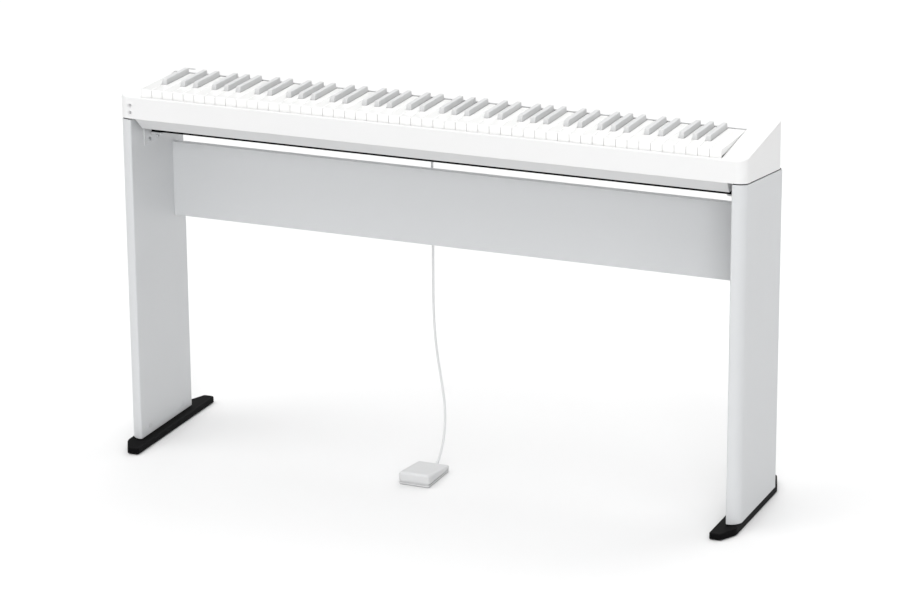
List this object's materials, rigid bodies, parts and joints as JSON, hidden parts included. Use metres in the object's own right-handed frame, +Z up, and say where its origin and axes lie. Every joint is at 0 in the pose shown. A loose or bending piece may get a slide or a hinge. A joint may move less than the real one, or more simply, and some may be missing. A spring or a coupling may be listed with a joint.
{
  "type": "digital piano on stand",
  "caption": "Slim digital piano with full keyboard of hinged keys, resting on a board stand with two side panels, feet and a back panel, with a corded foot switch.",
  "frame": {"origin": "on the floor, midway between the side panels' outer faces and midway between the feet's front and rear ends", "axes": "+X to the player's right, +Y away from the player, +Z up"},
  "size_m": [1.322, 0.35, 0.773],
  "materials": {
    "silver_white_board": "satin silver-white melamine",
    "black_foot": "semi-matt black",
    "black_steel": "black powder coat",
    "grey_painted_steel": "grey powder coat",
    "zinc_steel": "bright zinc",
    "cam_zinc": "cast zinc",
    "dark_rubber": "matt",
    "grey_rubber": "matt",
    "white_case": "fine matt white",
    "pale_grey_case": "pale grey, matt",
    "dark_moulding": "matt",
    "grey_felt": "felt",
    "circuit_board": "solder mask",
    "speaker_black": "matt",
    "button_grey": "matt",
    "socket_black": "matt",
    "white_key": "satin white",
    "grey_sharp": "pale grey, matt",
    "pale_grey_pedal": "pale grey",
    "pale_grey_cord": "pale grey sheath"
  },
  "bodies": {
    "stand_and_case": {"back_panel": "silver_white_board", "back_panel_cams": "cam_zinc", "bracket_bolts": "zinc_steel", "bracket_plate_left": "grey_painted_steel", "bracket_plate_right": "grey_painted_steel", "case_screws": "zinc_steel", "contact_board": "circuit_board", "cross_rail": "black_steel", "foot_cams": "cam_zinc", "foot_left": "black_foot", "foot_right": "black_foot", "foot_screws": "zinc_steel", "front_felt": "grey_felt", "headphone_sockets": "socket_black", "key_chassis": "dark_moulding", "knob_bolts": "zinc_steel", "lower_case": "pale_grey_case", "main_board": "circuit_board", "pedal_base": "pale_grey_pedal", "pedal_boot": "pale_grey_cord", "pedal_cord": "pale_grey_cord", "pedal_pin": "zinc_steel", "pedal_plug": "pale_grey_cord", "pedal_sole": "grey_rubber", "pedal_spring": "zinc_steel", "rear_felt": "grey_felt", "rear_sockets": "socket_black", "rubber_pads": "dark_rubber", "side_panel_left": "silver_white_board", "side_panel_right": "silver_white_board", "speakers": "speaker_black", "upper_case": "white_case"},
    "key_A4": {"key_A4": "white_key"},
    "key_As4": {"key_As4": "grey_sharp"},
    "key_B4": {"key_B4": "white_key"},
    "key_C4": {"key_C4": "white_key"},
    "key_Cs4": {"key_Cs4": "grey_sharp"},
    "key_D4": {"key_D4": "white_key"},
    "key_Ds4": {"key_Ds4": "grey_sharp"},
    "key_E4": {"key_E4": "white_key"},
    "key_F4": {"key_F4": "white_key"},
    "key_Fs4": {"key_Fs4": "grey_sharp"},
    "key_G4": {"key_G4": "white_key"},
    "key_Gs4": {"key_Gs4": "grey_sharp"},
    "keys_naturals_0": {"keys_naturals_0": "white_key"},
    "keys_naturals_1": {"keys_naturals_1": "white_key"},
    "keys_naturals_2": {"keys_naturals_2": "white_key"},
    "keys_naturals_3": {"keys_naturals_3": "white_key"},
    "keys_naturals_5": {"keys_naturals_5": "white_key"},
    "keys_naturals_6": {"keys_naturals_6": "white_key"},
    "keys_naturals_7": {"keys_naturals_7": "white_key"},
    "keys_sharps_0": {"keys_sharps_0": "grey_sharp"},
    "keys_sharps_1": {"keys_sharps_1": "grey_sharp"},
    "keys_sharps_2": {"keys_sharps_2": "grey_sharp"},
    "keys_sharps_3": {"keys_sharps_3": "grey_sharp"},
    "keys_sharps_5": {"keys_sharps_5": "grey_sharp"},
    "keys_sharps_6": {"keys_sharps_6": "grey_sharp"},
    "keys_sharps_7": {"keys_sharps_7": "grey_sharp"},
    "pedal_cap": {"pedal_cap": "pale_grey_pedal"},
    "power_button": {"power_button": "button_grey"}
  },
  "joints": [
    {"name": "key_C4_hinge", "type": "hinge", "parent": "stand_and_case", "child": "key_C4", "pos_m": [0, 0.058, 0.7395], "axis": [1, 0, 0], "range_deg": [0, 3.2], "stiffness_Nm_per_rad": 1, "springref_deg": -8.59},
    {"name": "key_Cs4_hinge", "type": "hinge", "parent": "stand_and_case", "child": "key_Cs4", "pos_m": [0, 0.058, 0.7395], "axis": [1, 0, 0], "range_deg": [0, 4], "stiffness_Nm_per_rad": 0.6, "springref_deg": -8.59},
    {"name": "key_D4_hinge", "type": "hinge", "parent": "stand_and_case", "child": "key_D4", "pos_m": [0, 0.058, 0.7395], "axis": [1, 0, 0], "range_deg": [0, 3.2], "stiffness_Nm_per_rad": 1, "springref_deg": -8.59},
    {"name": "key_Ds4_hinge", "type": "hinge", "parent": "stand_and_case", "child": "key_Ds4", "pos_m": [0, 0.058, 0.7395], "axis": [1, 0, 0], "range_deg": [0, 4], "stiffness_Nm_per_rad": 0.6, "springref_deg": -8.59},
    {"name": "key_E4_hinge", "type": "hinge", "parent": "stand_and_case", "child": "key_E4", "pos_m": [0, 0.058, 0.7395], "axis": [1, 0, 0], "range_deg": [0, 3.2], "stiffness_Nm_per_rad": 1, "springref_deg": -8.59},
    {"name": "key_F4_hinge", "type": "hinge", "parent": "stand_and_case", "child": "key_F4", "pos_m": [0, 0.058, 0.7395], "axis": [1, 0, 0], "range_deg": [0, 3.2], "stiffness_Nm_per_rad": 1, "springref_deg": -8.59},
    {"name": "key_Fs4_hinge", "type": "hinge", "parent": "stand_and_case", "child": "key_Fs4", "pos_m": [0, 0.058, 0.7395], "axis": [1, 0, 0], "range_deg": [0, 4], "stiffness_Nm_per_rad": 0.6, "springref_deg": -8.59},
    {"name": "key_G4_hinge", "type": "hinge", "parent": "stand_and_case", "child": "key_G4", "pos_m": [0, 0.058, 0.7395], "axis": [1, 0, 0], "range_deg": [0, 3.2], "stiffness_Nm_per_rad": 1, "springref_deg": -8.59},
    {"name": "key_Gs4_hinge", "type": "hinge", "parent": "stand_and_case", "child": "key_Gs4", "pos_m": [0, 0.058, 0.7395], "axis": [1, 0, 0], "range_deg": [0, 4], "stiffness_Nm_per_rad": 0.6, "springref_deg": -8.59},
    {"name": "key_A4_hinge", "type": "hinge", "parent": "stand_and_case", "child": "key_A4", "pos_m": [0, 0.058, 0.7395], "axis": [1, 0, 0], "range_deg": [0, 3.2], "stiffness_Nm_per_rad": 1, "springref_deg": -8.59},
    {"name": "key_As4_hinge", "type": "hinge", "parent": "stand_and_case", "child": "key_As4", "pos_m": [0, 0.058, 0.7395], "axis": [1, 0, 0], "range_deg": [0, 4], "stiffness_Nm_per_rad": 0.6, "springref_deg": -8.59},
    {"name": "key_B4_hinge", "type": "hinge", "parent": "stand_and_case", "child": "key_B4", "pos_m": [0, 0.058, 0.7395], "axis": [1, 0, 0], "range_deg": [0, 3.2], "stiffness_Nm_per_rad": 1, "springref_deg": -8.59},
    {"name": "keys_naturals_0_hinge", "type": "hinge", "parent": "stand_and_case", "child": "keys_naturals_0", "pos_m": [0, 0.058, 0.7395], "axis": [1, 0, 0], "range_deg": [0, 3.2], "stiffness_Nm_per_rad": 2, "springref_deg": -8.59},
    {"name": "keys_naturals_1_hinge", "type": "hinge", "parent": "stand_and_case", "child": "keys_naturals_1", "pos_m": [0, 0.058, 0.7395], "axis": [1, 0, 0], "range_deg": [0, 3.2], "stiffness_Nm_per_rad": 7, "springref_deg": -8.59},
    {"name": "keys_naturals_2_hinge", "type": "hinge", "parent": "stand_and_case", "child": "keys_naturals_2", "pos_m": [0, 0.058, 0.7395], "axis": [1, 0, 0], "range_deg": [0, 3.2], "stiffness_Nm_per_rad": 7, "springref_deg": -8.59},
    {"name": "keys_naturals_3_hinge", "type": "hinge", "parent": "stand_and_case", "child": "keys_naturals_3", "pos_m": [0, 0.058, 0.7395], "axis": [1, 0, 0], "range_deg": [0, 3.2], "stiffness_Nm_per_rad": 7, "springref_deg": -8.59},
    {"name": "keys_naturals_5_hinge", "type": "hinge", "parent": "stand_and_case", "child": "keys_naturals_5", "pos_m": [0, 0.058, 0.7395], "axis": [1, 0, 0], "range_deg": [0, 3.2], "stiffness_Nm_per_rad": 7, "springref_deg": -8.59},
    {"name": "keys_naturals_6_hinge", "type": "hinge", "parent": "stand_and_case", "child": "keys_naturals_6", "pos_m": [0, 0.058, 0.7395], "axis": [1, 0, 0], "range_deg": [0, 3.2], "stiffness_Nm_per_rad": 7, "springref_deg": -8.59},
    {"name": "keys_naturals_7_hinge", "type": "hinge", "parent": "stand_and_case", "child": "keys_naturals_7", "pos_m": [0, 0.058, 0.7395], "axis": [1, 0, 0], "range_deg": [0, 3.2], "stiffness_Nm_per_rad": 8, "springref_deg": -8.59},
    {"name": "keys_sharps_0_hinge", "type": "hinge", "parent": "stand_and_case", "child": "keys_sharps_0", "pos_m": [0, 0.058, 0.7395], "axis": [1, 0, 0], "range_deg": [0, 4], "stiffness_Nm_per_rad": 0.6, "springref_deg": -8.59},
    {"name": "keys_sharps_1_hinge", "type": "hinge", "parent": "stand_and_case", "child": "keys_sharps_1", "pos_m": [0, 0.058, 0.7395], "axis": [1, 0, 0], "range_deg": [0, 4], "stiffness_Nm_per_rad": 3, "springref_deg": -8.59},
    {"name": "keys_sharps_2_hinge", "type": "hinge", "parent": "stand_and_case", "child": "keys_sharps_2", "pos_m": [0, 0.058, 0.7395], "axis": [1, 0, 0], "range_deg": [0, 4], "stiffness_Nm_per_rad": 3, "springref_deg": -8.59},
    {"name": "keys_sharps_3_hinge", "type": "hinge", "parent": "stand_and_case", "child": "keys_sharps_3", "pos_m": [0, 0.058, 0.7395], "axis": [1, 0, 0], "range_deg": [0, 4], "stiffness_Nm_per_rad": 3, "springref_deg": -8.59},
    {"name": "keys_sharps_5_hinge", "type": "hinge", "parent": "stand_and_case", "child": "keys_sharps_5", "pos_m": [0, 0.058, 0.7395], "axis": [1, 0, 0], "range_deg": [0, 4], "stiffness_Nm_per_rad": 3, "springref_deg": -8.59},
    {"name": "keys_sharps_6_hinge", "type": "hinge", "parent": "stand_and_case", "child": "keys_sharps_6", "pos_m": [0, 0.058, 0.7395], "axis": [1, 0, 0], "range_deg": [0, 4], "stiffness_Nm_per_rad": 3, "springref_deg": -8.59},
    {"name": "keys_sharps_7_hinge", "type": "hinge", "parent": "stand_and_case", "child": "keys_sharps_7", "pos_m": [0, 0.058, 0.7395], "axis": [1, 0, 0], "range_deg": [0, 4], "stiffness_Nm_per_rad": 3, "springref_deg": -8.59},
    {"name": "pedal_cap_hinge", "type": "hinge", "parent": "stand_and_case", "child": "pedal_cap", "pos_m": [-0.0225, -0.03, 0.0086], "axis": [1, 0, 0], "range_deg": [0, 2], "stiffness_Nm_per_rad": 8, "springref_deg": -2.86, "deforming": ["pedal_spring"]},
    {"name": "power_button_press", "type": "slide", "parent": "stand_and_case", "child": "power_button", "axis": [0, 0.1219, -0.9925], "range_m": [0, 0.0007], "stiffness_N_per_m": 800, "springref_m": -0.001}
  ]
}
